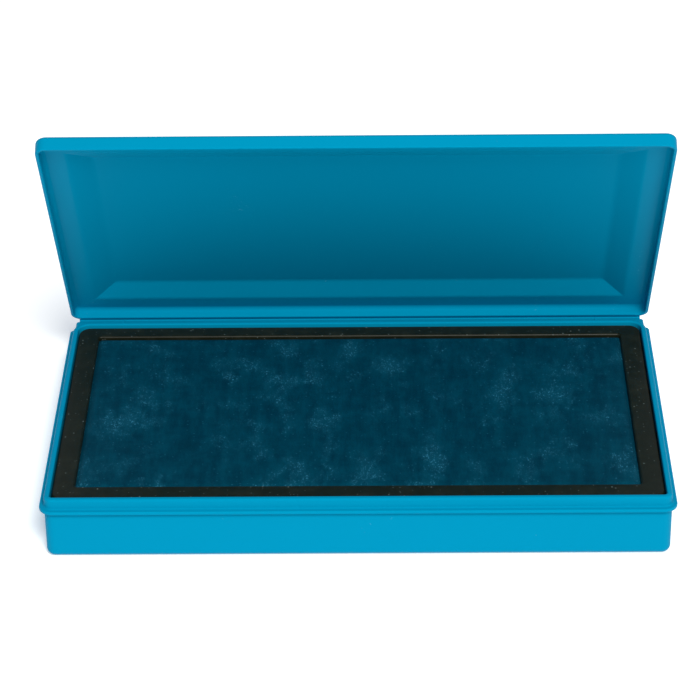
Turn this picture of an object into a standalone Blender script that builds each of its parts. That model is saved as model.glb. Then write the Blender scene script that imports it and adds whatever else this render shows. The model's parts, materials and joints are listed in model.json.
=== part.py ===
"""Hinged ink pad for rubber stamps.

A moulded polypropylene case holds a framed insert: a black tray with an inked
felt, covered by a stretched cloth, and a black retaining frame that clamps the
cloth down. A shallow lid is joined to the case by a living hinge along the rear.

Frame: +X to the right, -Y to the front (the lid's free edge when it is shut),
+Z up. The origin is the middle of the case's underside. Lengths are written in
millimetres and scaled to metres as the meshes are made.
"""

import math

import bmesh
import bpy
from mathutils import Vector

MM = 0.001

# ---------------------------------------------------------------- driving sizes
CASE_WIDTH = 178.0          # over the flange, left to right
BODY_DEPTH = 99.2           # case walls, front to rear
FLANGE_TOP = 15.9           # height of the flange that the lid lands on
FLANGE_THICKNESS = 1.1
CASE_WALL = 1.6
CASE_FLOOR = 1.4
LIP_HEIGHT = 3.2            # raised lip inside the lid, above the flange
HINGE_LAND = 5.8            # flat land behind the rear wall, up to the hinge
CASE_CORNER = 2.6           # radius of the walls' two front corners, seen from above
CASE_REAR_CORNER = 4.4      # and of the two rear ones, beside the hinge land
BOTTOM_FILLET = 2.0         # radius along the bottom edge
FLANGE_END_ROUND = 1.2      # rounding of the flange's two rear ends
LAND_CORNER = 0.8           # rounding of the hinge land's two corners

RIB_THICKNESS = 1.2         # ribs under the insert
RIBS_ALONG = 2              # ribs that run left to right
RIBS_ACROSS = 5             # ribs that run front to rear

LID_WALL = 1.0
LID_PLATE = 1.3
LID_RING = 6.9              # width of the flat ring inside the walls
LID_BEVEL = 6.7             # width of the sloping band
LID_CROWN = 2.6             # height of the raised middle above the flat ring
LID_CORNER = 3.2
LID_EDGE_ROUND = 1.2

FRAME_SIDE = 6.2            # width of the frame's face at the left and right
FRAME_END = 6.3             # width of the frame's face at the front and rear
FRAME_TOP_DROP = 0.9        # frame's face below the lip's top
FRAME_PLATE = 1.3
FRAME_SKIRT = 4.0
FRAME_SKIRT_WALL = 1.2
FRAME_CORNER = 2.9
FRAME_EDGE_ROUND = 0.6
WINDOW_CORNER = 0.8

TRAY_HEIGHT = 8.5
TRAY_WALL = 1.2
TRAY_FLOOR = 1.2
PAD_DROP = 0.75             # inked face below the frame's face
CLOTH_THICKNESS = 0.5
CLOTH_TUCK = 4.0            # how far the cloth is tucked down the felt's sides

HINGE_WEB = 0.4             # across the web of the living hinge
HINGE_WEB_INSET = 0.9       # web's end to the hinge land's end

# ------------------------------------------------------------------ clearances
TOUCH_GAP = 0.3             # between two pieces that bear on each other
LIP_TO_LID = 0.4            # lip's outer face to the shut lid's wall
LIP_UNDER_LID = 0.25        # lip's top to the flat ring inside the shut lid
FRAME_TO_CASE = 0.4
HINGE_GAP = 0.5             # hinge axis to the edges that it joins

REST_OPENING = math.radians(56.0)   # lid's angle from shut, as modelled

# --------------------------------------------------------------- derived sizes
FLANGE_OVERHANG = LID_WALL + LIP_TO_LID
LID_HOLLOW = LIP_HEIGHT + LIP_UNDER_LID - TOUCH_GAP
WALL_HALF_X = CASE_WIDTH / 2 - FLANGE_OVERHANG
WALL_HALF_Y = BODY_DEPTH / 2
CAVITY_HALF_X = WALL_HALF_X - CASE_WALL
CAVITY_HALF_Y = WALL_HALF_Y - CASE_WALL
FLANGE_FRONT_Y = -WALL_HALF_Y - FLANGE_OVERHANG
LAND_REAR_Y = WALL_HALF_Y + HINGE_LAND
LIP_TOP = FLANGE_TOP + LIP_HEIGHT
AXIS_Y = LAND_REAR_Y + HINGE_GAP
AXIS_Z = FLANGE_TOP + TOUCH_GAP / 2

FRAME_TOP = LIP_TOP - FRAME_TOP_DROP
FRAME_UNDER = FRAME_TOP - FRAME_PLATE
FRAME_HALF_X = CAVITY_HALF_X - FRAME_TO_CASE
FRAME_HALF_Y = CAVITY_HALF_Y - FRAME_TO_CASE
SKIRT_INNER_X = FRAME_HALF_X - FRAME_SKIRT_WALL
SKIRT_INNER_Y = FRAME_HALF_Y - FRAME_SKIRT_WALL
TRAY_HALF_X = SKIRT_INNER_X - TOUCH_GAP
TRAY_HALF_Y = SKIRT_INNER_Y - TOUCH_GAP
TRAY_TOP = FRAME_UNDER - TOUCH_GAP
TRAY_BOTTOM = TRAY_TOP - TRAY_HEIGHT
CLOTH_HALF_X = TRAY_HALF_X - TRAY_WALL - TOUCH_GAP
CLOTH_HALF_Y = TRAY_HALF_Y - TRAY_WALL - TOUCH_GAP
FELT_HALF_X = CLOTH_HALF_X - CLOTH_THICKNESS - TOUCH_GAP
FELT_HALF_Y = CLOTH_HALF_Y - CLOTH_THICKNESS - TOUCH_GAP
PAD_TOP = FRAME_TOP - PAD_DROP
WINDOW_HALF_X = FRAME_HALF_X - FRAME_SIDE
WINDOW_HALF_Y = FRAME_HALF_Y - FRAME_END

CORNER_STEPS = 6            # segments in each rounded corner
SMALLEST_RADIUS = 0.3


def clear_scene():
    """Removes every object, so that the file always starts empty."""
    for item in list(bpy.data.objects):
        bpy.data.objects.remove(item, do_unlink=True)


def plastic(name, colour, roughness):
    """Makes a plain material.

    Args:
        name: Name of the material.
        colour: Linear red, green and blue.
        roughness: Surface roughness from 0 to 1.

    Returns:
        The material.
    """
    material = bpy.data.materials.new(name)
    material.use_nodes = True
    shader = material.node_tree.nodes["Principled BSDF"]
    shader.inputs["Base Color"].default_value = (*colour, 1.0)
    shader.inputs["Roughness"].default_value = roughness
    shader.inputs["Metallic"].default_value = 0.0
    material.diffuse_color = (*colour, 1.0)
    return material


def arc(centre, radius, start, end, steps=CORNER_STEPS):
    """Points along an arc, both ends included, with angles in degrees."""
    points = []
    for step in range(steps + 1):
        angle = math.radians(start + (end - start) * step / steps)
        x = centre[0] + radius * math.cos(angle)
        y = centre[1] + radius * math.sin(angle)
        points.append((x, y))
    return points


def rounded_outline(half_x, front, rear, radius, rear_radius=None):
    """Anticlockwise outline of a rectangle with four round corners.

    Args:
        half_x: Half its width.
        front: Its lowest y.
        rear: Its highest y.
        radius: Corner radius.
        rear_radius: Radius of the two rear corners, if it differs.

    Returns:
        A list of x, y pairs, the same number for any size.
    """
    r = max(radius, SMALLEST_RADIUS)
    back = r if rear_radius is None else max(rear_radius, SMALLEST_RADIUS)
    outline = arc((half_x - back, rear - back), back, 0, 90)
    outline += arc((-half_x + back, rear - back), back, 90, 180)
    outline += arc((-half_x + r, front + r), r, 180, 270)
    outline += arc((half_x - r, front + r), r, 270, 360)
    return outline


def new_object(name, mesh_builder, material):
    """Links an object with the given mesh, shaded smooth but for its edges."""
    mesh = bpy.data.meshes.new(name)
    bmesh.ops.recalc_face_normals(mesh_builder, faces=mesh_builder.faces)
    mesh_builder.to_mesh(mesh)
    mesh_builder.free()
    if material is not None:
        mesh.materials.append(material)
    mesh.shade_smooth()
    mesh.set_sharp_from_angle(angle=math.radians(30))
    item = bpy.data.objects.new(name, mesh)
    bpy.context.scene.collection.objects.link(item)
    return item


def ring_stack(name, rings, material=None, origin=(0.0, 0.0, 0.0)):
    """Joins a stack of matching outlines into one closed solid.

    Args:
        name: Name of the object.
        rings: Pairs of an outline and its height, in order along the skin.
        material: Its material, or None on a cutter.
        origin: The object's origin, in millimetres.

    Returns:
        The object.
    """
    builder = bmesh.new()
    base = Vector(origin)
    loops = []
    for outline, height in rings:
        loop = [builder.verts.new((Vector((x, y, height)) - base) * MM) for x, y in outline]
        loops.append(loop)
    count = len(loops[0])
    for lower, upper in zip(loops, loops[1:]):
        for i in range(count):
            j = (i + 1) % count
            builder.faces.new((lower[i], lower[j], upper[j], upper[i]))
    builder.faces.new(list(reversed(loops[0])))
    builder.faces.new(loops[-1])
    item = new_object(name, builder, material)
    item.location = base * MM
    return item


def plate(name, outline, bottom, top, material=None):
    """Extrudes one outline from bottom to top."""
    return ring_stack(name, [(outline, bottom), (outline, top)], material)


def block(name, low, high):
    """A box between two corners, used as a rib or a cutter."""
    outline = [(low[0], low[1]), (high[0], low[1]), (high[0], high[1]), (low[0], high[1])]
    return plate(name, outline, low[2], high[2])


def combine(target, other, operation):
    """Adds a Boolean modifier to target and hides the other object from it.

    Args:
        target: The object that is changed.
        other: The object that is joined on or cut away.
        operation: UNION or DIFFERENCE.
    """
    modifier = target.modifiers.new(other.name, "BOOLEAN")
    modifier.operation = operation
    modifier.solver = "EXACT"
    modifier.object = other
    other.hide_render = True
    other.display_type = "WIRE"


def inset(half_x, front, rear, radius, amount):
    """Outline of a rounded rectangle moved inwards by an amount."""
    return rounded_outline(half_x - amount, front + amount, rear - amount, radius - amount)


# ------------------------------------------------------------------------ case
def case_outline(amount):
    """Outline of the case's walls moved inwards by an amount."""
    return rounded_outline(
        WALL_HALF_X - amount,
        amount - WALL_HALF_Y,
        WALL_HALF_Y - amount,
        CASE_CORNER - amount,
        CASE_REAR_CORNER - amount,
    )


def case_outer_rings():
    """Rings of the case's outer skin, from the underside to the lip's top."""
    rings = []
    fillet = min(BOTTOM_FILLET, CASE_CORNER - SMALLEST_RADIUS)
    steps = 4
    for step in range(steps + 1):
        angle = math.radians(90 * step / steps)
        amount = fillet * (1 - math.sin(angle))
        height = fillet * (1 - math.cos(angle))
        rings.append((case_outline(amount), height))
    edge = 0.35 * CASE_WALL
    rings.append((case_outline(0.0), LIP_TOP - edge))
    rings.append((case_outline(edge), LIP_TOP))
    return rings


def flange_outline():
    """Flange round the front and sides, and the narrower land at the rear."""
    half_x = CASE_WIDTH / 2
    radius = CASE_CORNER + FLANGE_OVERHANG
    end = min(FLANGE_END_ROUND, 0.9 * FLANGE_OVERHANG)
    land = min(LAND_CORNER, HINGE_LAND / 3)
    side_end = WALL_HALF_Y
    outline = arc((half_x - end, side_end - end), end, 0, 90)
    outline.append((WALL_HALF_X, side_end))
    outline += arc((WALL_HALF_X - land, LAND_REAR_Y - land), land, 0, 90)
    outline += arc((-WALL_HALF_X + land, LAND_REAR_Y - land), land, 90, 180)
    outline.append((-WALL_HALF_X, side_end))
    outline += arc((-half_x + end, side_end - end), end, 90, 180)
    outline += arc((-half_x + radius, FLANGE_FRONT_Y + radius), radius, 180, 270)
    outline += arc((half_x - radius, FLANGE_FRONT_Y + radius), radius, 270, 360)
    return outline


def add_ribs(case):
    """Joins a grid of ribs to the case's floor, which carry the insert."""
    bottom = CASE_FLOOR / 2
    top = TRAY_BOTTOM - TOUCH_GAP
    reach_x = CAVITY_HALF_X + CASE_WALL / 2
    reach_y = CAVITY_HALF_Y + CASE_WALL / 2
    half = RIB_THICKNESS / 2
    for number in range(RIBS_ALONG):
        y = -CAVITY_HALF_Y + 2 * CAVITY_HALF_Y * (number + 1) / (RIBS_ALONG + 1)
        rib = block(f"rib_along_{number}", (-reach_x, y - half, bottom), (reach_x, y + half, top))
        combine(case, rib, "UNION")
    for number in range(RIBS_ACROSS):
        x = -CAVITY_HALF_X + 2 * CAVITY_HALF_X * (number + 1) / (RIBS_ACROSS + 1)
        rib = block(f"rib_across_{number}", (x - half, -reach_y, bottom), (x + half, reach_y, top))
        combine(case, rib, "UNION")


def make_case(material):
    """The moulded case: walls, floor, flange, hinge land, lip and ribs."""
    case = ring_stack("base_case", case_outer_rings(), material)
    flange = plate("flange", flange_outline(), FLANGE_TOP - FLANGE_THICKNESS, FLANGE_TOP)
    combine(case, flange, "UNION")
    cavity = plate("cavity", case_outline(CASE_WALL), CASE_FLOOR, LIP_TOP + 1.0)
    combine(case, cavity, "DIFFERENCE")
    add_ribs(case)
    return case


# ------------------------------------------------------------------------- lid
def lid_rings():
    """Rings of the shut lid, from the crown's top round the rim to its inside."""
    half_x = CASE_WIDTH / 2
    rim = AXIS_Z + TOUCH_GAP / 2

    def ring(amount, height):
        outline = inset(half_x, FLANGE_FRONT_Y, LAND_REAR_Y, LID_CORNER, amount)
        return (outline, rim + height)

    ring_inner = LID_WALL + LID_RING
    bevel_inner = ring_inner + LID_BEVEL
    plate_top = LID_HOLLOW + LID_PLATE
    rounding = min(LID_EDGE_ROUND, LID_CORNER - SMALLEST_RADIUS, plate_top / 2)
    rings = [ring(bevel_inner, plate_top + LID_CROWN), ring(ring_inner, plate_top)]
    steps = 3
    for step in range(steps + 1):
        angle = math.radians(90 * step / steps)
        amount = rounding * (1 - math.sin(angle))
        rings.append(ring(amount, plate_top - rounding * (1 - math.cos(angle))))
    rings.append(ring(0.0, 0.0))
    rings.append(ring(LID_WALL, 0.0))
    rings.append(ring(LID_WALL, LID_HOLLOW))
    rings.append(ring(ring_inner, LID_HOLLOW))
    rings.append(ring(bevel_inner, LID_HOLLOW + LID_CROWN))
    return rings


def make_lid(material):
    """The lid, hung from an empty on the hinge axis and swung open."""
    pivot = bpy.data.objects.new("lid_pivot", None)
    pivot.location = Vector((0.0, AXIS_Y, AXIS_Z)) * MM
    bpy.context.scene.collection.objects.link(pivot)
    lid = ring_stack("lid", lid_rings(), material, origin=(0.0, AXIS_Y, AXIS_Z))
    lid.parent = pivot
    lid.location = (0.0, 0.0, 0.0)
    pivot.rotation_euler = (-REST_OPENING, 0.0, 0.0)
    return lid


def make_hinge_web(material):
    """The thin web of the living hinge, a slim strip along the axis."""
    half_x = WALL_HALF_X - HINGE_WEB_INSET
    half = HINGE_WEB / 2
    sides = 8
    builder = bmesh.new()
    ends = []
    for x in (-half_x, half_x):
        loop = []
        for side in range(sides):
            angle = 2 * math.pi * side / sides
            y = AXIS_Y + half * math.cos(angle)
            z = AXIS_Z + half * math.sin(angle)
            loop.append(builder.verts.new(Vector((x, y, z)) * MM))
        ends.append(loop)
    for side in range(sides):
        after = (side + 1) % sides
        builder.faces.new((ends[0][side], ends[0][after], ends[1][after], ends[1][side]))
    builder.faces.new(list(reversed(ends[0])))
    builder.faces.new(ends[1])
    return new_object("living_hinge", builder, material)


# ---------------------------------------------------------------------- insert
def make_frame(material):
    """The black frame: a flat face with a window, and a skirt round the tray."""
    rounding = min(FRAME_EDGE_ROUND, FRAME_PLATE / 2)
    outer = inset(FRAME_HALF_X, -FRAME_HALF_Y, FRAME_HALF_Y, FRAME_CORNER, 0.0)
    shoulder = inset(FRAME_HALF_X, -FRAME_HALF_Y, FRAME_HALF_Y, FRAME_CORNER, rounding)
    skirt_bottom = FRAME_UNDER - FRAME_SKIRT
    frame = ring_stack(
        "retaining_frame",
        [(outer, skirt_bottom), (outer, FRAME_TOP - rounding), (shoulder, FRAME_TOP)],
        material,
    )
    inner_corner = FRAME_CORNER - FRAME_SKIRT_WALL
    inside = rounded_outline(SKIRT_INNER_X, -SKIRT_INNER_Y, SKIRT_INNER_Y, inner_corner)
    combine(frame, plate("skirt_hollow", inside, skirt_bottom - 1.0, FRAME_UNDER), "DIFFERENCE")
    window = rounded_outline(WINDOW_HALF_X, -WINDOW_HALF_Y, WINDOW_HALF_Y, WINDOW_CORNER)
    combine(frame, plate("window", window, FRAME_UNDER - 1.0, FRAME_TOP + 1.0), "DIFFERENCE")
    return frame


def make_tray(material):
    """The open black tray that holds the felt."""
    corner = FRAME_CORNER - FRAME_SKIRT_WALL
    outer = rounded_outline(TRAY_HALF_X, -TRAY_HALF_Y, TRAY_HALF_Y, corner)
    inner = inset(TRAY_HALF_X, -TRAY_HALF_Y, TRAY_HALF_Y, corner, TRAY_WALL)
    floor = TRAY_BOTTOM + TRAY_FLOOR
    rings = [(outer, TRAY_BOTTOM), (outer, TRAY_TOP), (inner, TRAY_TOP), (inner, floor)]
    return ring_stack("insert_tray", rings, material)


def make_felt(material):
    """The ink felt, which stands a little higher where the window frees it."""
    bottom = TRAY_BOTTOM + TRAY_FLOOR + TOUCH_GAP
    edge_top = TRAY_TOP - CLOTH_THICKNESS - TOUCH_GAP
    crown_top = PAD_TOP - CLOTH_THICKNESS - TOUCH_GAP
    margin = 2 * TOUCH_GAP + CLOTH_THICKNESS
    full = rounded_outline(FELT_HALF_X, -FELT_HALF_Y, FELT_HALF_Y, SMALLEST_RADIUS)
    crown = inset(WINDOW_HALF_X, -WINDOW_HALF_Y, WINDOW_HALF_Y, WINDOW_CORNER, margin)
    rings = [(full, bottom), (full, edge_top), (crown, edge_top), (crown, crown_top)]
    return ring_stack("ink_felt", rings, material)


def make_cloth(material):
    """The cloth over the felt, tucked down its sides and bulging in the window."""
    corner = SMALLEST_RADIUS + CLOTH_THICKNESS
    outer = rounded_outline(CLOTH_HALF_X, -CLOTH_HALF_Y, CLOTH_HALF_Y, corner)
    inner = inset(CLOTH_HALF_X, -CLOTH_HALF_Y, CLOTH_HALF_Y, corner, CLOTH_THICKNESS)
    crown = inset(WINDOW_HALF_X, -WINDOW_HALF_Y, WINDOW_HALF_Y, WINDOW_CORNER, TOUCH_GAP)
    under = inset(
        WINDOW_HALF_X, -WINDOW_HALF_Y, WINDOW_HALF_Y, WINDOW_CORNER, TOUCH_GAP + CLOTH_THICKNESS
    )
    hem = TRAY_TOP - CLOTH_TUCK
    rings = [
        (crown, PAD_TOP),
        (crown, TRAY_TOP),
        (outer, TRAY_TOP),
        (outer, hem),
        (inner, hem),
        (inner, TRAY_TOP - CLOTH_THICKNESS),
        (under, TRAY_TOP - CLOTH_THICKNESS),
        (under, PAD_TOP - CLOTH_THICKNESS),
    ]
    return ring_stack("pad_cloth", rings, material)


def main():
    """Builds every piece of the ink pad."""
    clear_scene()
    blue = plastic("blue_polypropylene", (0.004, 0.31, 0.52), 0.38)
    black = plastic("black_plastic", (0.012, 0.014, 0.012), 0.42)
    ink_cloth = plastic("inked_cloth", (0.006, 0.045, 0.085), 0.75)
    ink_felt = plastic("inked_felt", (0.005, 0.03, 0.06), 0.95)
    make_case(blue)
    make_lid(blue)
    make_hinge_web(blue)
    make_tray(black)
    make_felt(ink_felt)
    make_cloth(ink_cloth)
    make_frame(black)


main()
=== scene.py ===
"""Looks of the hinged ink pad: fine meshes, plastics, inked cloth, and a small studio."""

import json
import logging
import math
from dataclasses import dataclass, field
from enum import Enum
from typing import Any, Iterable, Sequence

import bmesh
import bpy
from mathutils import Matrix, Quaternion, Vector, noise


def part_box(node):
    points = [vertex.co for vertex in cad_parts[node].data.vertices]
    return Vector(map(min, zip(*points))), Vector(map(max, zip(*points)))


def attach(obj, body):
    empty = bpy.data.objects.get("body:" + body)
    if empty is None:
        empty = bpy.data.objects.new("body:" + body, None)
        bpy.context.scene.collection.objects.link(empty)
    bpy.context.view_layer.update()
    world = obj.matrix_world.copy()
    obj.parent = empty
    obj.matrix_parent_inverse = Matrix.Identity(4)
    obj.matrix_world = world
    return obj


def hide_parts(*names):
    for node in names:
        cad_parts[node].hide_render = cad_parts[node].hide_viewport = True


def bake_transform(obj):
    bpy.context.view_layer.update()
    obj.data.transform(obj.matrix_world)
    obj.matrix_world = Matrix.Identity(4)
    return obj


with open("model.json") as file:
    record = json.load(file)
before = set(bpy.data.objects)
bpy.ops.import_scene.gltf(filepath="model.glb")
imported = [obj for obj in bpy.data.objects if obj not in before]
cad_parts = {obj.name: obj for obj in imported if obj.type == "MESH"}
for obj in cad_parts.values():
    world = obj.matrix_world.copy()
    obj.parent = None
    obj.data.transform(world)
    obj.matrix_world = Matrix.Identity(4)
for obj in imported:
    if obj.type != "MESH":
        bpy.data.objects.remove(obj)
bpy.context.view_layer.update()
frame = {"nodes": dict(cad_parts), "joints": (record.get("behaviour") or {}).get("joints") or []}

LOG = logging.getLogger("ink_pad")
MM = 0.001
Point = tuple[float, float]


# --------------------------------------------------------------- shader algebra
class Channel:
    """A node's output, with arithmetic that adds Math nodes."""

    def __init__(self, graph: "Graph", socket: bpy.types.NodeSocket) -> None:
        """Wraps one output socket of a graph."""
        self.graph = graph
        self.socket = socket

    def _math(self, operation: str, *values: Any) -> "Channel":
        """Adds a Math node on the given values."""
        inputs = dict(enumerate(values))
        return self.graph.node("ShaderNodeMath", {"operation": operation}, inputs)

    def __add__(self, other: Any) -> "Channel":
        """Sum with a value or a number."""
        return self._math("ADD", self, other)

    def __mul__(self, other: Any) -> "Channel":
        """Product with a value or a number."""
        return self._math("MULTIPLY", self, other)

    def __sub__(self, other: Any) -> "Channel":
        """Difference from a value or a number."""
        return self._math("SUBTRACT", self, other)

    def __rsub__(self, other: Any) -> "Channel":
        """A number less this value."""
        return self._math("SUBTRACT", other, self)

    __radd__ = __add__
    __rmul__ = __mul__

    def above(self, edge: float) -> "Channel":
        """One where the value is greater than the edge, else nought."""
        return self._math("GREATER_THAN", self, edge)

    def clamp(self) -> "Channel":
        """The value held between nought and one."""
        return self._math("MINIMUM", self._math("MAXIMUM", self, 0.0), 1.0)

    def wave(self) -> "Channel":
        """Sine of the value."""
        return self._math("SINE", self)

    def ramp(self, low: float, high: float) -> "Channel":
        """Smooth step from nought at low to one at high."""
        settings = {"interpolation_type": "SMOOTHSTEP"}
        inputs = {"Value": self, "From Min": low, "From Max": high}
        return self.graph.node("ShaderNodeMapRange", settings, inputs)


class Graph:
    """The node tree of one material, with its Principled shader."""

    def __init__(self, name: str) -> None:
        """Makes a new material with an empty Principled shader."""
        self.material = bpy.data.materials.new(name)
        self.material.use_nodes = True
        self.tree = self.material.node_tree
        self.shader = self.tree.nodes["Principled BSDF"]
        place = self.tree.nodes.new("ShaderNodeTexCoord")
        self.place = Channel(self, place.outputs["Object"])

    def node(
        self,
        kind: str,
        settings: dict[str, Any] | None = None,
        inputs: dict[Any, Any] | None = None,
        output: Any = 0,
    ) -> Channel:
        """Adds any node.

        Args:
            kind: The node's type.
            settings: Its properties, set before its sockets.
            inputs: Values or channels of its sockets, by name or number.
            output: Name or number of the output that is wanted.

        Returns:
            That output.
        """
        made = self.tree.nodes.new(kind)
        for key, value in (settings or {}).items():
            setattr(made, key, value)
        for key, value in (inputs or {}).items():
            self.feed(made.inputs[key], value)
        return Channel(self, made.outputs[output])

    def feed(self, socket: bpy.types.NodeSocket, value: Any) -> None:
        """Links a channel to a socket, or sets the socket's value."""
        if isinstance(value, Channel):
            self.tree.links.new(value.socket, socket)
        else:
            socket.default_value = value

    def set(self, **values: Any) -> None:
        """Feeds the Principled shader's sockets, named with underscores for spaces."""
        for key, value in values.items():
            self.feed(self.shader.inputs[key.replace("_", " ")], value)

    def split(self) -> tuple[Channel, Channel, Channel]:
        """The place's x, y and z in metres."""
        made = self.node("ShaderNodeSeparateXYZ", None, {"Vector": self.place})
        outputs = made.socket.node.outputs
        return Channel(self, outputs[0]), Channel(self, outputs[1]), Channel(self, outputs[2])

    def grain(
        self,
        size: float,
        detail: float = 2.0,
        rough: float = 0.5,
        stretch: tuple[float, float, float] = (1.0, 1.0, 1.0),
    ) -> Channel:
        """Cloudy noise.

        Args:
            size: Width of its lumps, in metres.
            detail: How many finer layers it has.
            rough: How strong they are.
            stretch: How much longer the lumps are along each axis.

        Returns:
            The noise, from nought to one.
        """
        settings = {"operation": "DIVIDE"}
        place = self.node("ShaderNodeVectorMath", settings, {0: self.place, 1: stretch})
        inputs = {"Vector": place, "Scale": 1 / size, "Detail": detail, "Roughness": rough}
        return self.node("ShaderNodeTexNoise", None, inputs)

    def flecks(self, spacing: float, radius: float, share: float) -> Channel:
        """Sparse round specks.

        Args:
            spacing: Distance between the cells that may hold one.
            radius: Radius of a speck, as a share of the spacing.
            share: How many of the cells hold one.

        Returns:
            One on a speck, nought elsewhere.
        """
        inputs = {"Vector": self.place, "Scale": 1 / spacing}
        cell = self.node("ShaderNodeTexVoronoi", None, inputs, "Distance")
        hue = Channel(self, cell.socket.node.outputs["Color"])
        chance = self.node("ShaderNodeSeparateColor", None, {"Color": hue})
        return (1 - cell.ramp(radius * 0.6, radius)) * chance.above(1 - share)

    def mix(self, share: Any, first: Any, second: Any) -> Channel:
        """Blend of two colours."""
        settings = {"data_type": "RGBA"}
        return self.node("ShaderNodeMix", settings, {0: share, 6: first, 7: second}, 2)

    def bump(self, height: Channel, distance: float, under: Channel | None = None) -> Channel:
        """Bends the normal by a height.

        Args:
            height: The height, from nought to one.
            distance: What one stands for, in metres.
            under: A normal that is bent already, if there is one.

        Returns:
            The bent normal.
        """
        inputs = {"Height": height, "Distance": distance, "Strength": 1.0}
        if under is not None:
            inputs["Normal"] = under
        return self.node("ShaderNodeBump", None, inputs)


def rgba(red: float, green: float, blue: float) -> tuple[float, float, float, float]:
    """A linear colour with full alpha."""
    return (red, green, blue, 1.0)


# --------------------------------------------------------------------- finishes
@dataclass(frozen=True)
class MouldedPolypropylene:
    """Satin blue moulding, with faint flow marks, dust and rubbed spots."""

    colour: tuple[float, float, float] = (0.0, 0.228, 0.388)
    deep: tuple[float, float, float] = (0.0, 0.218, 0.373)
    rubbed: tuple[float, float, float] = (0.12, 0.44, 0.60)
    roughness: float = 0.40

    def make(self) -> bpy.types.Material:
        """Builds the material."""
        graph = Graph("moulded_polypropylene")
        flow = graph.grain(0.045, 3.0)
        cloud = graph.grain(0.006, 4.0, 0.6)
        body = graph.mix(flow * 0.6 + cloud * 0.25, rgba(*self.colour), rgba(*self.deep))
        dust = graph.flecks(0.0050, 0.040, 0.10) * 0.22
        rub = (graph.grain(0.0011, 5.0, 0.7) * graph.grain(0.016, 2.0)).ramp(0.42, 0.50) * 0.35
        marked = graph.mix((dust + rub).clamp(), body, rgba(*self.rubbed))
        skin = graph.grain(0.00035, 2.0)
        sink = graph.grain(0.022, 1.0)
        fine = graph.bump(skin, 0.000010)
        wide = graph.bump(sink, 0.00006, fine)
        graph.set(
            Base_Color=marked,
            Roughness=flow * 0.08 + cloud * 0.06 + rub * 0.2 + (self.roughness - 0.07),
            IOR=1.49,
            Specular_IOR_Level=0.03,
            Specular_Tint=rgba(0.02, 0.55, 0.85),
            Normal=wide,
        )
        return graph.material


@dataclass(frozen=True)
class GrainedBlack:
    """Black moulded plastic with a fine grain and a little lint."""

    colour: tuple[float, float, float] = (0.0070, 0.0080, 0.0030)
    paler: tuple[float, float, float] = (0.0130, 0.0140, 0.0070)
    lint: tuple[float, float, float] = (0.14, 0.17, 0.16)
    roughness: float = 0.40

    def make(self) -> bpy.types.Material:
        """Builds the material."""
        graph = Graph("grained_black")
        cloud = graph.grain(0.004, 4.0, 0.65)
        grain = graph.grain(0.00028, 3.0, 0.6)
        body = graph.mix(cloud.ramp(0.40, 0.75), rgba(*self.colour), rgba(*self.paler))
        coarse = graph.flecks(0.0024, 0.12, 0.50) * 0.7
        fine = graph.flecks(0.0011, 0.20, 0.30) * 0.45
        marked = graph.mix((coarse + fine).clamp(), body, rgba(*self.lint))
        graph.set(
            Base_Color=marked,
            Roughness=cloud * 0.14 + grain * 0.08 + (self.roughness - 0.10),
            IOR=1.5,
            Specular_IOR_Level=0.18,
            Normal=graph.bump(grain, 0.00002),
        )
        return graph.material


@dataclass(frozen=True)
class InkedCloth:
    """Fine plain weave soaked with dark blue ink, brushed, blotched and slightly damp, with painted
    glint specks in its colour.
    """

    dry: tuple[float, float, float] = (0.0008, 0.0500, 0.0820)
    wet: tuple[float, float, float] = (0.0003, 0.0230, 0.0420)
    pale: tuple[float, float, float] = (0.0350, 0.2000, 0.3100)
    thread: float = 0.00042

    def make(self) -> bpy.types.Material:
        """Builds the material."""
        graph = Graph("inked_cloth")
        x, y, _ = graph.split()
        wobble = graph.grain(0.004, 2.0)
        turn = 2 * math.pi / self.thread
        warp = (x * turn + wobble * 3.0).wave() * 0.5 + 0.5
        weft = (y * turn + wobble * 3.6).wave() * 0.5 + 0.5
        slub = graph.grain(0.0009, 3.0, 0.7)
        weave = warp * weft * 0.45 + slub * 0.55
        pools = graph.grain(0.0120, 6.0, 0.62, (1.0, 1.7, 1.0))
        along = graph.grain(0.0034, 4.0, 0.65, (2.0, 1.0, 1.0))
        across = graph.grain(0.0030, 4.0, 0.65, (1.0, 4.0, 1.0))
        soak = (pools * 0.42 + along * 0.20 + across * 0.38).ramp(0.34, 0.64)
        body = graph.mix(soak, rgba(*self.wet), rgba(*self.dry))
        shaded = graph.mix(weave.ramp(0.85, 0.15) * 0.30, body, rgba(*self.wet))
        nap = graph.grain(0.00050, 2.0, 0.8, (1.0, 1.7, 1.0)).ramp(0.54, 0.68)
        thin = graph.grain(0.0065, 5.0, 0.68, (1.0, 1.7, 1.0))
        bald = (pools * 0.45 + thin * 0.55).ramp(0.49, 0.63)
        # Glint: painted highlight specks mixed into the colour, brighter on the bare patches.
        glint = graph.flecks(0.0011, 0.28, 0.16) * (bald * 0.7 + 0.3)
        # Share of the pale colour: bare patches and nap fibres, plus the painted glint highlights.
        paler = (nap * bald * 0.62 + bald * 0.06 + glint * 0.6).clamp()
        marked = graph.mix(paler, shaded, rgba(*self.pale))
        graph.set(
            Base_Color=marked,
            Roughness=weave * 0.10 - soak * 0.10 + 0.72,
            IOR=1.40,
            Specular_IOR_Level=0.25,
            Specular_Tint=rgba(0.02, 0.50, 0.80),
            Normal=graph.bump(weave, 0.00008),
        )
        return graph.material


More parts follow.
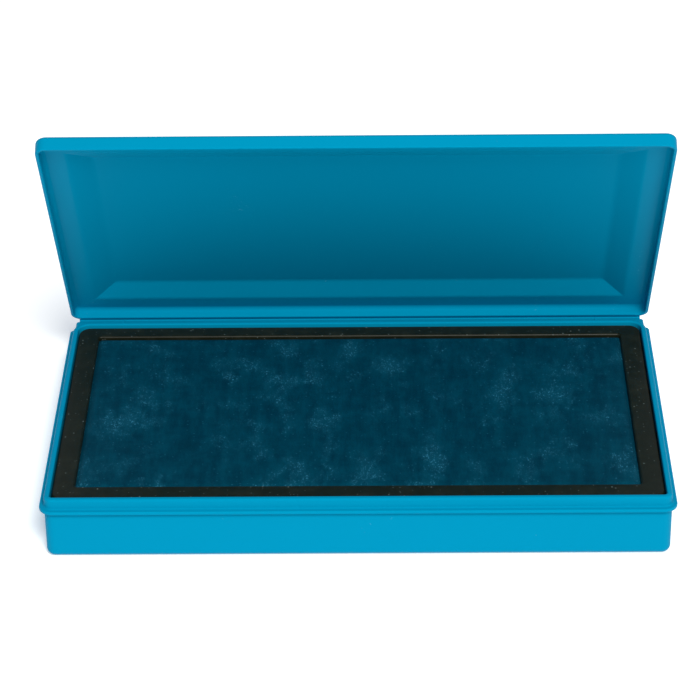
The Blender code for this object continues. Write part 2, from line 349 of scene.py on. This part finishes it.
@dataclass(frozen=True)
class InkedFelt:
    """Dense felt, soaked through."""

    colour: tuple[float, float, float] = (0.002, 0.020, 0.045)
    fibre: tuple[float, float, float] = (0.012, 0.070, 0.120)

    def make(self) -> bpy.types.Material:
        """Builds the material."""
        graph = Graph("inked_felt")
        fluff = graph.grain(0.0009, 6.0, 0.75)
        clot = graph.grain(0.006, 3.0)
        body = graph.mix(fluff * 0.7 + clot * 0.3, rgba(*self.colour), rgba(*self.fibre))
        graph.set(
            Base_Color=body,
            Roughness=fluff * 0.15 + 0.80,
            Sheen_Weight=0.3,
            Normal=graph.bump(fluff, 0.0003),
        )
        return graph.material


class Slot(Enum):
    """The record's material slots."""

    BLUE = "blue_polypropylene"
    BLACK = "black_plastic"
    CLOTH = "inked_cloth"
    FELT = "inked_felt"


class Body(Enum):
    """The record's bodies."""

    BASE = "base"
    LID = "lid"


# -------------------------------------------------------------------- outlines
def arc(x: float, y: float, radius: float, start: float, steps: int) -> list[Point]:
    """Points of a quarter circle, anticlockwise from a start angle in degrees."""
    spread = [math.radians(start + 90 * step / steps) for step in range(steps + 1)]
    return [(x + radius * math.cos(a), y + radius * math.sin(a)) for a in spread]


@dataclass(frozen=True)
class Outline:
    """A rectangle with round corners, seen from above, in millimetres."""

    half_x: float
    front: float
    rear: float
    radius: float
    rear_radius: float | None = None
    steps: int = 12

    def points(self, inset: float) -> list[Point]:
        """Anticlockwise points of the outline moved inwards.

        Args:
            inset: How far it moves; negative moves it outwards.

        Returns:
            The same number of points for any inset.
        """
        r = max(self.radius - inset, 0.25)
        back = r if self.rear_radius is None else max(self.rear_radius - inset, 0.25)
        x = self.half_x - inset
        rear = self.rear - inset - back
        front = self.front + inset + r
        result = arc(x - back, rear, back, 0, self.steps)
        result += arc(back - x, rear, back, 90, self.steps)
        result += arc(r - x, front, r, 180, self.steps)
        result += arc(x - r, front, r, 270, self.steps)
        return result


def soften(corners: Sequence[tuple[float, float, float]], steps: int = 5) -> list[Point]:
    """Rounds a polyline's corners with arcs.

    Args:
        corners: First and second coordinate, and radius, of each corner.
        steps: Segments in each arc.

    Returns:
        The points of the rounded line.
    """
    result = [(corners[0][0], corners[0][1])]
    for before, here, after in zip(corners, corners[1:], corners[2:]):
        centre = Vector(here[:2])
        back = Vector(before[:2]) - centre
        ahead = Vector(after[:2]) - centre
        radius = here[2]
        if radius <= 0:
            result.append(tuple(centre))
            continue
        half = back.angle(ahead) / 2
        reach = min(radius / math.tan(half), 0.49 * back.length, 0.49 * ahead.length)
        radius = reach * math.tan(half)
        bisector = (back.normalized() + ahead.normalized()).normalized()
        middle = centre + bisector * (radius / math.sin(half))
        first = centre + back.normalized() * reach - middle
        last = centre + ahead.normalized() * reach - middle
        turn = first.angle_signed(last)
        for step in range(steps + 1):
            spoke = first.copy()
            spoke.rotate(Matrix.Rotation(-turn * step / steps, 2))
            result.append(tuple(middle + spoke))
    result.append((corners[-1][0], corners[-1][1]))
    return result


def shifted(points: Sequence[Point], amount: float) -> list[Point]:
    """Moves any anticlockwise outline inwards by an amount, corner by corner."""
    count = len(points)
    result = []
    for i, here in enumerate(points):
        p = Vector(here)
        back = (p - Vector(points[i - 1])).normalized()
        ahead = (Vector(points[(i + 1) % count]) - p).normalized()
        inward = Vector((-back.y, back.x)) + Vector((-ahead.y, ahead.x))
        scale = amount * 2 / max(inward.length_squared, 0.4)
        result.append(tuple(p + inward * scale))
    return result


Ring = list[Vector]


def rings(outline: Outline, profile: Iterable[Point]) -> list[Ring]:
    """Rings of an outline at each inset and height of a profile."""
    return [[Vector((x, y, z)) for x, y in outline.points(inset)] for inset, z in profile]


# ---------------------------------------------------------------------- meshes
def finish_mesh(name: str, builder: bmesh.types.BMesh, sharp: float = 35.0) -> bpy.types.Object:
    """Turns a builder in millimetres into a smooth object in metres.

    Args:
        name: The object's name.
        builder: Its mesh, freed here.
        sharp: Angle in degrees past which an edge stays sharp.

    Returns:
        The object.
    """
    bmesh.ops.recalc_face_normals(builder, faces=builder.faces)
    bmesh.ops.scale(builder, vec=(MM, MM, MM), verts=builder.verts)
    mesh = bpy.data.meshes.new(name)
    builder.to_mesh(mesh)
    builder.free()
    mesh.shade_smooth()
    mesh.set_sharp_from_angle(angle=math.radians(sharp))
    item = bpy.data.objects.new(name, mesh)
    bpy.context.scene.collection.objects.link(item)
    return item


def add_skin(builder: bmesh.types.BMesh, loops: Sequence[Ring], closed: bool) -> None:
    """Adds quads between rings, and caps or a join from the last ring to the first.

    Args:
        builder: The mesh that gets the faces.
        loops: Rings with the same number of points.
        closed: True for a tube that joins up, False for two flat caps.
    """
    made = [[builder.verts.new(p) for p in loop] for loop in loops]
    pairs = list(zip(made, made[1:]))
    if closed:
        pairs.append((made[-1], made[0]))
    count = len(made[0])
    for lower, upper in pairs:
        for i in range(count):
            j = (i + 1) % count
            builder.faces.new((lower[i], lower[j], upper[j], upper[i]))
    if not closed:
        builder.faces.new(list(reversed(made[0])))
        builder.faces.new(made[-1])


def skin(name: str, loops: Sequence[Ring], closed: bool = False) -> bpy.types.Object:
    """Makes one object from rings."""
    builder = bmesh.new()
    add_skin(builder, loops, closed)
    return finish_mesh(name, builder)


def unite(item: bpy.types.Object, others: Sequence[bpy.types.Object]) -> None:
    """Joins closed solids into one skin, and removes the solids that were joined on."""
    for other in others:
        modifier = item.modifiers.new(other.name, "BOOLEAN")
        modifier.operation = "UNION"
        modifier.solver = "EXACT"
        modifier.object = other
    graph = bpy.context.evaluated_depsgraph_get()
    joined = bpy.data.meshes.new_from_object(item.evaluated_get(graph))
    item.modifiers.clear()
    old = item.data
    item.data = joined
    bpy.data.meshes.remove(old)
    for other in others:
        bpy.data.objects.remove(other, do_unlink=True)
    joined.shade_smooth()
    joined.set_sharp_from_angle(angle=math.radians(35))


def level_normals(item: bpy.types.Object) -> None:
    """Keeps wide faces flat in the shading where they meet small rounded edges."""
    modifier = item.modifiers.new("level_normals", "WEIGHTED_NORMAL")
    modifier.mode = "FACE_AREA"
    modifier.keep_sharp = True
    modifier.weight = 50


def dress(item: bpy.types.Object, material: bpy.types.Material) -> None:
    """Gives a piece its only material."""
    item.data.materials.clear()
    item.data.materials.append(material)


def hinge() -> dict[str, Any]:
    """The record's lid joint."""
    return next(joint for joint in frame["joints"] if joint["name"] == "lid_hinge")


# ------------------------------------------------------------------------ case
@dataclass
class Case:
    """The moulded case: tray, lip, flange, hinge land and ribs. Sizes in millimetres."""

    material: bpy.types.Material
    wall: float = 1.6
    floor: float = 1.4
    overhang: float = 1.4
    corner: float = 2.6
    rear_corner: float = 5.2
    bottom_round: float = 1.8
    flange: float = 1.1
    lip: float = 3.2
    end_round: float = 1.4
    end_reach: float = 0.6
    land_round: float = 0.8
    lip_outer_round: float = 0.70
    lip_inner_round: float = 0.45
    floor_round: float = 0.8
    flange_top_round: float = 0.38
    flange_under_round: float = 0.30
    lip_foot: float = 0.55
    flange_root: float = 0.5
    root_depth: float = 0.6
    rib: float = 1.2
    ribs_along: int = 2
    ribs_across: int = 5
    nib_x: float = 72.5
    nib_out: float = 0.9
    nib_wide: float = 0.7
    nib_long: float = 1.6
    nib_rise: float = 0.12
    low: Vector = field(init=False)
    high: Vector = field(init=False)
    half_x: float = field(init=False)
    half_y: float = field(init=False)
    top: float = field(init=False)
    rear: float = field(init=False)
    body: Outline = field(init=False)

    def __post_init__(self) -> None:
        """Takes the overall sizes from the frame."""
        self.low, self.high = (Vector(v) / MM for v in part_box("base_case"))
        self.half_x = self.high.x - self.overhang
        self.half_y = -self.low.y - self.overhang
        self.top = self.high.z - self.lip
        self.rear = self.high.y
        self.body = Outline(
            self.half_x, -self.half_y, self.half_y, self.corner, self.rear_corner
        )

    def shell(self) -> bpy.types.Object:
        """Walls, floor and lip, with rounded edges."""
        top = self.high.z
        centre = 30.0
        profile = soften(
            [
                (centre, 0.0, 0.0),
                (0.0, 0.0, self.bottom_round),
                (0.0, top, self.lip_outer_round),
                (self.wall, top, self.lip_inner_round),
                (self.wall, self.floor, self.floor_round),
                (centre, self.floor, 0.0),
            ],
            7,
        )
        return skin("case_moulding", rings(self.body, profile))

    def flange_outline(self) -> list[Point]:
        """Flange round the front and sides, and the narrower land at the rear."""
        wide = self.high.x
        radius = self.corner + self.overhang
        end = self.end_round
        land = self.land_round
        side = self.half_y + self.end_reach
        points = arc(wide - end, side - end, end, 0, 6)
        points.append((self.half_x + 0.05, side))
        points += arc(self.half_x - land, self.rear - land, land, 0, 6)
        points += arc(land - self.half_x, self.rear - land, land, 90, 6)
        points.append((-self.half_x - 0.05, side))
        points += arc(end - wide, side - end, end, 90, 6)
        points += arc(radius - wide, self.low.y + radius, radius, 180, 12)
        points += arc(wide - radius, self.low.y + radius, radius, 270, 12)
        return points

    def flange_band(self) -> bpy.types.Object:
        """The flange and land as a closed band whose inner edge is within the wall."""
        outer = self.flange_outline()
        under = self.top - self.flange
        profile = soften(
            [
                (self.root_depth, under, 0.0),
                (0.0, under, self.flange_under_round),
                (0.0, self.top, self.flange_top_round),
                (self.root_depth, self.top, 0.0),
            ],
            5,
        )
        loops = []
        for amount, z in profile:
            loops.append([Vector((x, y, z)) for x, y in shifted(outer, amount)])
        keep = self.body.points(0.5 * self.wall)
        root = [min(keep, key=lambda p: math.dist(p, q)) for q in outer]
        edge_x = self.half_x - 0.5 * self.wall
        edge_y = self.half_y - 0.5 * self.wall
        spots = []
        for (x, y), (near_x, near_y) in zip(outer, root):
            corner_x = abs(x) > edge_x - self.corner
            corner_y = abs(y) > edge_y - self.corner
            if corner_x and corner_y:
                spots.append((near_x, near_y))
            elif abs(x) > edge_x:
                spots.append((math.copysign(edge_x, x), y))
            else:
                spots.append((x, math.copysign(edge_y, y)))
        loops.append([Vector((x, y, self.top)) for x, y in spots])
        loops.append([Vector((x, y, under)) for x, y in spots])
        builder = bmesh.new()
        add_skin(builder, loops, True)
        bmesh.ops.dissolve_degenerate(builder, dist=0.0001, edges=builder.edges)
        return finish_mesh("flange_band", builder)

    def fillet(self, name: str, z: float, size: float, upward: bool) -> bpy.types.Object:
        """A small hollow fillet between the wall and the flange.

        Args:
            name: The band's name.
            z: Height of the flange's face.
            size: Its radius.
            upward: True above the flange, False below it.

        Returns:
            A closed band to be joined to the case.
        """
        way = 1.0 if upward else -1.0
        root = 0.3
        points = [(root, z - way * root), (-size, z - way * root)]
        for step in range(7):
            angle = math.radians(90 * step / 6)
            points.append((-size * (1 - math.sin(angle)), z + way * size * (1 - math.cos(angle))))
        points.append((root, z + way * size))
        return skin(name, rings(self.body, points), closed=True)

    def rib_blocks(self) -> list[bpy.types.Object]:
        """Ribs that stand on the floor and carry the insert."""
        top = Vector(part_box("insert_tray")[0]).z / MM - 0.3
        reach_x = self.half_x - 0.5 * self.wall
        reach_y = self.half_y - 0.5 * self.wall
        inner_x = self.half_x - self.wall
        inner_y = self.half_y - self.wall
        half = self.rib / 2
        spans = []
        for number in range(self.ribs_along):
            y = -inner_y + 2 * inner_y * (number + 1) / (self.ribs_along + 1)
            spans.append((-reach_x, reach_x, y - half, y + half))
        for number in range(self.ribs_across):
            x = -inner_x + 2 * inner_x * (number + 1) / (self.ribs_across + 1)
            spans.append((x - half, x + half, -reach_y, reach_y))
        blocks = []
        for number, (x0, x1, y0, y1) in enumerate(spans):
            corners = ((x0, y0), (x1, y0), (x1, y1), (x0, y1))
            loops = [[Vector((x, y, z)) for x, y in corners] for z in (self.floor / 2, top)]
            blocks.append(skin(f"rib_{number}", loops))
        return blocks

    def nibs(self) -> list[bpy.types.Object]:
        """Two small nibs on the rear of the lip, near the ends of the crease."""
        centre = self.half_y + self.nib_out - self.nib_long / 2
        made = []
        for side in (-1, 1):
            x = side * self.nib_x
            loops = []
            for inset, z in ((0.0, self.top - self.flange / 2), (0.05, self.high.z + self.nib_rise)):
                half_x = self.nib_wide / 2 - inset
                half_y = self.nib_long / 2 - inset
                corners = ((-1, -1), (1, -1), (1, 1), (-1, 1))
                loops.append([Vector((x + i * half_x, centre + j * half_y, z)) for i, j in corners])
            made.append(skin(f"nib_{side}", loops))
        return made

    def build(self) -> bpy.types.Object:
        """Makes the case and joins its features into one skin."""
        case = self.shell()
        parts = [
            self.flange_band(),
            self.fillet("lip_foot", self.top, self.lip_foot, True),
            self.fillet("flange_root", self.top - self.flange, self.flange_root, False),
            *self.rib_blocks(),
            *self.nibs(),
        ]
        unite(case, parts)
        level_normals(case)
        dress(case, self.material)
        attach(case, Body.BASE.value)
        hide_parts("base_case")
        return case


# ------------------------------------------------------------------------- lid
@dataclass
class Lid:
    """The shallow lid, built shut and swung to its modelled angle. Sizes in millimetres."""

    material: bpy.types.Material
    case: Case
    wall: float = 1.0
    plate: float = 1.3
    hollow: float = 3.15
    ring: float = 6.9
    bevel: float = 6.7
    crown: float = 2.6
    corner: float = 3.2
    gap: float = 0.15
    crown_round: float = 2.0
    shoulder_round: float = 1.6
    edge_round: float = 1.2
    rim_outer_round: float = 0.24
    rim_inner_round: float = 0.30
    wall_fillet: float = 1.5
    ring_fillet: float = 4.0
    slope_fillet: float = 5.0

    def swing(self) -> Matrix:
        """Turn from shut to the modelled angle, about the hinge axis."""
        joint = hinge()
        pivot = Vector(joint["pos_m"])
        angle = -math.radians(joint["range_deg"][0])
        turn = Matrix.Rotation(angle, 4, Vector(joint["axis"]))
        return Matrix.Translation(pivot) @ turn @ Matrix.Translation(-pivot)

    def build(self) -> bpy.types.Object:
        """Makes the lid."""
        rim = hinge()["pos_m"][2] / MM + self.gap
        inner = self.wall + self.ring
        slope = inner + self.bevel
        plate = self.hollow + self.plate
        middle = slope + 20.0
        profile = soften(
            [
                (middle, rim + plate + self.crown, 0.0),
                (slope, rim + plate + self.crown, self.crown_round),
                (inner, rim + plate, self.shoulder_round),
                (0.0, rim + plate, self.edge_round),
                (0.0, rim, self.rim_outer_round),
                (self.wall, rim, self.rim_inner_round),
                (self.wall, rim + self.hollow, self.wall_fillet),
                (inner, rim + self.hollow, self.ring_fillet),
                (slope, rim + self.hollow + self.crown, self.slope_fillet),
                (middle, rim + self.hollow + self.crown, 0.0),
            ],
            6,
        )
        outline = Outline(self.case.high.x, self.case.low.y, self.case.rear, self.corner)
        lid = skin("lid_moulding", rings(outline, profile))
        lid.data.transform(self.swing())
        level_normals(lid)
        dress(lid, self.material)
        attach(lid, Body.LID.value)
        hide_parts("lid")
        return lid


@dataclass
class HingeWeb:
    """The thin sheet that joins the case's land to the lid's rim. Sizes in millimetres."""

    material: bpy.types.Material
    case: Case
    thick: float = 0.35
    reach: float = 0.5
    overlap: float = 0.35
    short: float = 0.9

    def build(self) -> bpy.types.Object:
        """Makes the web bent at the lid's modelled angle, and blends it over the joint."""
        joint = hinge()
        pivot = Vector(joint["pos_m"]) / MM
        bend = math.pi + math.radians(joint["range_deg"][0])
        half_x = self.case.half_x - self.short
        steps = 14
        builder = bmesh.new()
        loops = []
        for x in (-half_x, half_x):
            upper, lower = [], []
            for step in range(steps + 1):
                share = step / steps
                along = -self.reach - self.overlap + 2 * (self.reach + self.overlap) * share
                ease = min(max((along + self.reach) / (2 * self.reach), 0.0), 1.0)
                turn = Matrix.Rotation(bend * ease, 3, "X")
                for depth, line in ((0.0, upper), (self.thick, lower)):
                    spot = turn @ Vector((0.0, along, -0.15 - depth))
                    line.append(Vector((x, pivot.y + spot.y, pivot.z + spot.z)))
            loops.append(upper + list(reversed(lower)))
        add_skin(builder, loops, False)
        web = finish_mesh("hinge_web", builder, 60.0)
        dress(web, self.material)
        turn = Matrix.Rotation(bend, 3, "X")
        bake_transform(web)
        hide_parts("living_hinge")
        return web


# ---------------------------------------------------------------------- insert
@dataclass
class Insert:
    """Black frame and tray with the cloth-covered felt. Sizes in millimetres."""

    black: bpy.types.Material
    cloth_finish: bpy.types.Material
    felt_finish: bpy.types.Material
    plate: float = 1.3
    skirt_wall: float = 1.2
    side: float = 6.2
    end: float = 6.3
    rear_end: float = 5.6
    corner: float = 3.4
    window_corner: float = 0.8
    pad_drop: float = 0.40
    cloth_thick: float = 0.4
    tuck: float = 3.6
    cell: float = 0.8
    hem: float = 0.3
    felt_gap: float = 0.25
    roll_start: float = 0.5
    roll_width: float = 1.9
    sag: float = 0.10
    swell_height: float = 0.16
    pucker_height: float = 0.055
    low: Vector = field(init=False)
    high: Vector = field(init=False)
    outer: Outline = field(init=False)
    window: Outline = field(init=False)
    top: float = field(init=False)
    under: float = field(init=False)

    def __post_init__(self) -> None:
        """Takes the overall sizes from the frame."""
        self.low, self.high = (Vector(v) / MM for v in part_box("retaining_frame"))
        self.outer = Outline(self.high.x, self.low.y, self.high.y, self.corner)
        self.window = Outline(
            self.high.x - self.side,
            self.low.y + self.end,
            self.high.y - self.rear_end,
            self.window_corner,
        )
        self.top = self.high.z
        self.under = self.top - self.plate

    def frame_piece(self) -> bpy.types.Object:
        """The frame's face, window edge and skirt."""
        outside = soften(
            [(0.0, self.low.z, 0.0), (0.0, self.top, 0.65), (2.6, self.top, 0.0)], 6
        )
        inside = soften([(-2.4, self.top, 0.0), (0.0, self.top, 0.6), (0.0, self.under, 0.0)], 6)
        skirt = [(self.skirt_wall, self.under), (self.skirt_wall, self.low.z)]
        loops = rings(self.outer, outside) + rings(self.window, inside) + rings(self.outer, skirt)
        piece = skin("pad_frame", loops, closed=True)
        level_normals(piece)
        dress(piece, self.black)
        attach(piece, Body.BASE.value)
        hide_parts("retaining_frame")
        return piece

    def surface(self, x: float, y: float) -> float:
        """Height of the cloth's upper face at a place.

        Args:
            x: Place to the right.
            y: Place to the rear.

        Returns:
            The height, low under the frame and slightly uneven in the window.
        """
        inward_x = self.window.half_x - abs(x)
        inward_y = min(self.window.rear - y, y - self.window.front)
        inward = min(inward_x, inward_y)
        share = min(max((inward + self.roll_start) / self.roll_width, 0.0), 1.0)
        rise = share * share * (3 - 2 * share)
        edge = self.under - self.hem
        crown = self.top - self.pad_drop - self.sag
        swell = noise.noise(Vector((x * 0.030, y * 0.042, 3.1)))
        pucker = noise.noise(Vector((x * 0.11, y * 0.14, 7.7)))
        uneven = (self.swell_height * swell + self.pucker_height * pucker) * rise
        return edge + (crown - edge) * rise + uneven

    def cloth_piece(self) -> bpy.types.Object:
        """The cover cloth: an uneven top face, and edges tucked down the felt's sides."""
        low, high = (Vector(v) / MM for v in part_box("pad_cloth"))
        columns = round((high.x - low.x) / self.cell)
        rows = round((high.y - low.y) / self.cell)
        builder = bmesh.new()
        grid = []
        for row in range(rows + 1):
            y = low.y + (high.y - low.y) * row / rows
            line = []
            for column in range(columns + 1):
                x = low.x + (high.x - low.x) * column / columns
                line.append(builder.verts.new((x, y, self.surface(x, y))))
            grid.append(line)
        for row in range(rows):
            for column in range(columns):
                a, b = grid[row][column], grid[row][column + 1]
                c, d = grid[row + 1][column + 1], grid[row + 1][column]
                builder.faces.new((a, b, c, d))
        rim = [e for e in builder.edges if e.is_boundary]
        for drop in (self.hem, self.tuck):
            made = bmesh.ops.extrude_edge_only(builder, edges=rim)["geom"]
            verts = [g for g in made if isinstance(g, bmesh.types.BMVert)]
            for vert in verts:
                vert.co.z = self.under - self.hem - drop
            rim = [g for g in made if isinstance(g, bmesh.types.BMEdge) and g.is_boundary]
        cloth = finish_mesh("cover_cloth", builder, 70.0)
        modifier = cloth.modifiers.new("thickness", "SOLIDIFY")
        modifier.thickness = self.cloth_thick * MM
        modifier.offset = -1.0
        dress(cloth, self.cloth_finish)
        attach(cloth, Body.BASE.value)
        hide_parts("pad_cloth")
        return cloth

    def felt_piece(self) -> bpy.types.Object:
        """The felt block under the cloth, with soft edges."""
        low, high = (Vector(v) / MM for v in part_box("ink_felt"))
        outline = Outline(high.x, low.y, high.y, 0.8)
        top = self.under - self.hem - self.cloth_thick - self.felt_gap
        crown = high.z - self.felt_gap
        window_inset = high.x - self.window.half_x + 1.6
        profile = soften(
            [
                (30.0, low.z, 0.0),
                (0.0, low.z, 0.6),
                (0.0, top, 0.6),
                (window_inset, top, 0.8),
                (window_inset + 1.4, crown, 0.8),
                (30.0, crown, 0.0),
            ],
            4,
        )
        felt = skin("ink_felt_block", rings(outline, profile))
        level_normals(felt)
        dress(felt, self.felt_finish)
        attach(felt, Body.BASE.value)
        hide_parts("ink_felt")
        return felt

    def build(self) -> list[bpy.types.Object]:
        """Makes the insert's pieces, and dresses the tray, whose CAD shape stays."""
        tray = frame["nodes"]["insert_tray"]
        dress(tray, self.black)
        return [self.frame_piece(), self.felt_piece(), self.cloth_piece(), tray]


# ---------------------------------------------------------------------- studio
@dataclass
class Studio:
    """Pale floor, soft lights and the camera."""

    lens: float = 147.6
    distance: float = 0.8293
    elevation: float = 30.46
    azimuth: float = -0.78
    roll: float = -0.723
    aim: tuple[float, float, float] = (-0.00228, 0.0, 0.03777)
    table_glow: float = 0.30
    sky_colour: tuple[float, float, float] = (0.88, 0.97, 1.12)
    sky_strength: float = 0.41
    key_place: tuple[float, float, float] = (0.46, -1.72, 1.90)
    key_colour: tuple[float, float, float] = (1.0, 0.995, 0.93)
    key_size: float = 0.80
    key_power: float = 68.0

    def floor(self) -> None:
        """A wide, plain, pale floor."""
        graph = Graph("pale_floor")
        graph.set(
            Base_Color=rgba(0.93, 0.93, 0.93),
            Roughness=0.85,
            Emission_Color=rgba(1.0, 1.0, 1.0),
            Emission_Strength=self.table_glow,
        )
        builder = bmesh.new()
        bmesh.ops.create_grid(builder, x_segments=1, y_segments=1, size=4000.0)
        floor = finish_mesh("floor", builder)
        floor.location.z = -0.0002
        floor.data.materials.append(graph.material)

    def light(
        self,
        name: str,
        place: tuple[float, float, float],
        size: float,
        power: float,
        colour: tuple[float, float, float],
    ) -> None:
        """A square softbox aimed at the object.

        Args:
            name: Its name.
            place: Where it hangs, in metres.
            size: Its side, in metres.
            power: Its power, in watts.
            colour: Its linear colour.
        """
        lamp = bpy.data.lights.new(name, "AREA")
        lamp.size = size
        lamp.energy = power
        lamp.color = colour
        item = bpy.data.objects.new(name, lamp)
        item.location = place
        item.rotation_mode = "QUATERNION"
        item.rotation_quaternion = (Vector((0, 0, 0.02)) - Vector(place)).to_track_quat("-Z", "Y")
        bpy.context.scene.collection.objects.link(item)

    def sky(self) -> None:
        """Even, faint, slightly blue surroundings."""
        world = bpy.data.worlds.new("white_room")
        world.use_nodes = True
        back = world.node_tree.nodes["Background"]
        back.inputs["Color"].default_value = rgba(*self.sky_colour)
        back.inputs["Strength"].default_value = self.sky_strength
        bpy.context.scene.world = world

    def camera(self) -> None:
        """The camera, a little off the middle and slightly tilted."""
        data = bpy.data.cameras.new("camera")
        data.lens = self.lens
        data.sensor_width = 36.0
        item = bpy.data.objects.new("camera", data)
        rise = math.radians(self.elevation)
        turn = math.radians(self.azimuth)
        look = Vector(
            (math.sin(turn) * math.cos(rise), math.cos(turn) * math.cos(rise), -math.sin(rise))
        )
        item.location = Vector(self.aim) - look * self.distance
        item.rotation_mode = "QUATERNION"
        tilt = Quaternion((0.0, 0.0, 1.0), math.radians(self.roll))
        item.rotation_quaternion = look.to_track_quat("-Z", "Y") @ tilt
        bpy.context.scene.collection.objects.link(item)
        bpy.context.scene.camera = item

    def build(self) -> None:
        """Sets up everything that isn't part of the object."""
        self.camera()
        self.floor()
        self.sky()
        self.light("key", self.key_place, self.key_size, self.key_power, self.key_colour)
        view = bpy.context.scene.view_settings
        view.view_transform = "Standard"


def main() -> None:
    """Builds the studio and every visible piece."""
    logging.basicConfig(level=logging.INFO, format="%(name)s: %(message)s")
    Studio().build()
    blue = MouldedPolypropylene().make()
    case = Case(blue)
    LOG.info("case: %s", case.build().name)
    LOG.info("lid: %s", Lid(blue, case).build().name)
    LOG.info("hinge web: %s", HingeWeb(blue, case).build().name)
    insert = Insert(GrainedBlack().make(), InkedCloth().make(), InkedFelt().make())
    for piece in insert.build():
        LOG.info("insert: %s", piece.name)


if __name__ == "__main__":
    main()
